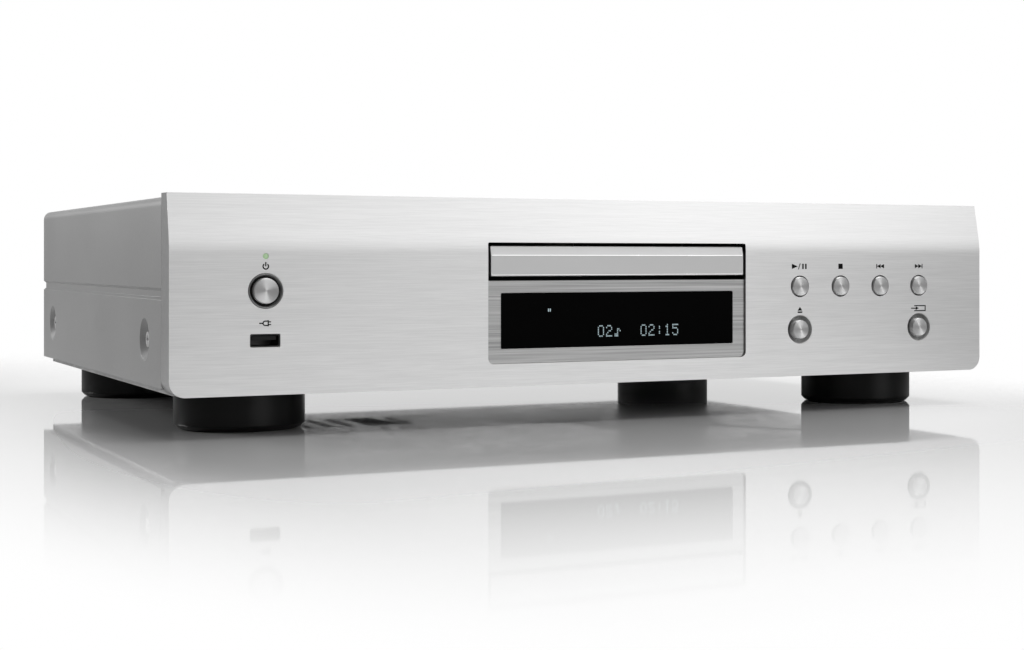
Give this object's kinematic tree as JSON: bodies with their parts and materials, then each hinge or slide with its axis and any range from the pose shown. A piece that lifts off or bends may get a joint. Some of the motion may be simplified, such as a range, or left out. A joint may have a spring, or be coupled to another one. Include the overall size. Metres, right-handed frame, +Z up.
{
  "type": "cd player",
  "caption": "Component-size CD player with a metal front, motorised disc tray, display window, press buttons, USB socket and rear audio sockets.",
  "frame": {"origin": "centre of the footprint on the surface the feet stand on", "axes": "+X to the right seen from the front, the front faces -Y, +Z up"},
  "size_m": [0.434, 0.3274, 0.107],
  "materials": {
    "brushed_aluminium": "fine horizontal brushed grain, satin",
    "cover_paint": "fine matte silver-grey paint",
    "rear_paint": "matte black paint",
    "zinc_steel": "zinc-plated sheet, dull",
    "bright_metal": "turned and plated",
    "bezel_metal": "hairline brushed",
    "black_plastic": "moulded, fine texture",
    "foot_plastic": "satin black moulding",
    "window_acrylic": "polished dark acrylic",
    "tube_glass": "dark glass",
    "led_green": "clear tinted lens",
    "white_plastic": "natural moulded acetal",
    "pad_rubber": "matte",
    "belt_rubber": "matte",
    "board_green": "solder resist",
    "component_black": "moulded packages and sleeves",
    "iron_core": "laminated, varnished",
    "copper_coil": "varnished winding under tape",
    "gold_plate": "gold plated",
    "motor_steel": "plated can",
    "cable_white": "flat cable"
  },
  "bodies": {
    "casing": {"bottom_chassis": "zinc_steel", "rear_panel": "rear_paint", "top_cover": "cover_paint", "front_panel": "brushed_aluminium", "front_frame": "black_plastic", "display_bezel": "bezel_metal", "display_window": "window_acrylic", "display_tube": "tube_glass", "display_board": "board_green", "power_ring": "bright_metal", "led_lens": "led_green", "button_collars": "bright_metal", "tact_switches": "component_black", "key_boards": "board_green", "usb_shell": "bright_metal", "usb_tongue": "black_plastic", "foot_front_left": "foot_plastic", "foot_front_right": "foot_plastic", "foot_rear_left": "foot_plastic", "foot_rear_right": "foot_plastic", "foot_pads": "pad_rubber", "case_screws": "bright_metal", "main_board": "board_green", "power_board": "board_green", "board_components": "component_black", "heat_sink": "zinc_steel", "transformer_core": "iron_core", "transformer_coil": "copper_coil", "phono_sockets": "gold_plate", "phono_blocks": "white_plastic", "optical_socket": "black_plastic", "remote_sockets": "black_plastic", "mains_inlet": "black_plastic", "flat_cables": "cable_white", "loader_base": "black_plastic", "loader_brackets": "zinc_steel", "clamp_bridge": "zinc_steel", "loading_motor": "motor_steel", "drive_belt": "belt_rubber"},
    "tray": {"disc_tray": "black_plastic", "tray_front": "brushed_aluminium"},
    "power_key": {"power_button": "bright_metal"},
    "play_key": {"play_pause_button": "bright_metal"},
    "stop_key": {"stop_button": "bright_metal"},
    "previous_key": {"previous_button": "bright_metal"},
    "next_key": {"next_button": "bright_metal"},
    "eject_key": {"eject_button": "bright_metal"},
    "source_key": {"source_button": "bright_metal"},
    "clamp": {"clamp_puck": "white_plastic"},
    "motor_wheel": {"motor_pulley": "white_plastic"},
    "belt_wheel": {"pulley_gear": "white_plastic"},
    "tray_gear": {"loading_gear": "white_plastic"},
    "slider": {"cam_slider": "white_plastic"},
    "traverse": {"traverse_frame": "black_plastic", "spindle_motor": "motor_steel", "guide_rods": "bright_metal", "sled_motor": "motor_steel"},
    "platter": {"turntable": "black_plastic"},
    "screw": {"lead_screw": "bright_metal"},
    "pickup": {"optical_pickup": "component_black"}
  },
  "joints": [
    {"name": "tray_slide", "type": "slide", "parent": "casing", "child": "tray", "axis": [0, -1, 0], "range_m": [0, 0.142]},
    {"name": "tray_gear_spin", "type": "hinge", "parent": "casing", "child": "tray_gear", "pos_m": [0.038, -0.113, 0.068], "axis": [0, 0, 1], "range_deg": [-680, 0]},
    {"name": "belt_wheel_spin", "type": "hinge", "parent": "casing", "child": "belt_wheel", "pos_m": [0.0185, -0.1208, 0.0615], "axis": [0, 0, 1], "range_deg": [0, 2175]},
    {"name": "motor_wheel_spin", "type": "hinge", "parent": "casing", "child": "motor_wheel", "pos_m": [-0.022, -0.1208, 0.0615], "axis": [0, 0, 1], "range_deg": [0, 7610]},
    {"name": "traverse_tilt", "type": "hinge", "parent": "casing", "child": "traverse", "pos_m": [0, 0.008, 0.062], "axis": [1, 0, 0], "range_deg": [0, 5.3]},
    {"name": "cam_slide", "type": "slide", "parent": "casing", "child": "slider", "axis": [1, 0, 0], "range_m": [0, 0.018]},
    {"name": "spindle_spin", "type": "hinge", "parent": "traverse", "child": "platter", "pos_m": [0, -0.085, 0.077], "axis": [0, 0, 1], "continuous": true},
    {"name": "clamp_spin", "type": "hinge", "parent": "casing", "child": "clamp", "pos_m": [0, -0.085, 0.085], "axis": [0, 0, 1], "continuous": true},
    {"name": "pickup_slide", "type": "slide", "parent": "traverse", "child": "pickup", "axis": [0, 1, 0], "range_m": [-0.008, 0.028]},
    {"name": "lead_screw_spin", "type": "hinge", "parent": "traverse", "child": "screw", "pos_m": [-0.031, -0.04, 0.062], "axis": [0, 1, 0], "range_deg": [-962, 3364]},
    {"name": "power_press", "type": "slide", "parent": "casing", "child": "power_key", "axis": [0, 1, 0], "range_m": [0, 0.0008], "stiffness_N_per_m": 1500},
    {"name": "play_press", "type": "slide", "parent": "casing", "child": "play_key", "axis": [0, 1, 0], "range_m": [0, 0.0008], "stiffness_N_per_m": 1500},
    {"name": "stop_press", "type": "slide", "parent": "casing", "child": "stop_key", "axis": [0, 1, 0], "range_m": [0, 0.0008], "stiffness_N_per_m": 1500},
    {"name": "previous_press", "type": "slide", "parent": "casing", "child": "previous_key", "axis": [0, 1, 0], "range_m": [0, 0.0008], "stiffness_N_per_m": 1500},
    {"name": "next_press", "type": "slide", "parent": "casing", "child": "next_key", "axis": [0, 1, 0], "range_m": [0, 0.0008], "stiffness_N_per_m": 1500},
    {"name": "eject_press", "type": "slide", "parent": "casing", "child": "eject_key", "axis": [0, 1, 0], "range_m": [0, 0.0008], "stiffness_N_per_m": 1500},
    {"name": "source_press", "type": "slide", "parent": "casing", "child": "source_key", "axis": [0, 1, 0], "range_m": [0, 0.0008], "stiffness_N_per_m": 1500}
  ],
  "couplings": [
    {"joint": "tray_gear_spin", "follows": "tray_slide", "rad_per_m": -83.333},
    {"joint": "belt_wheel_spin", "follows": "tray_slide", "rad_per_m": 266.67},
    {"joint": "motor_wheel_spin", "follows": "tray_slide", "rad_per_m": 933.33},
    {"joint": "cam_slide", "follows": "traverse_tilt", "m_per_rad": 0.19459},
    {"joint": "clamp_spin", "follows": "spindle_spin", "ratio": 1},
    {"joint": "lead_screw_spin", "follows": "pickup_slide", "rad_per_m": 2094.4}
  ]
}
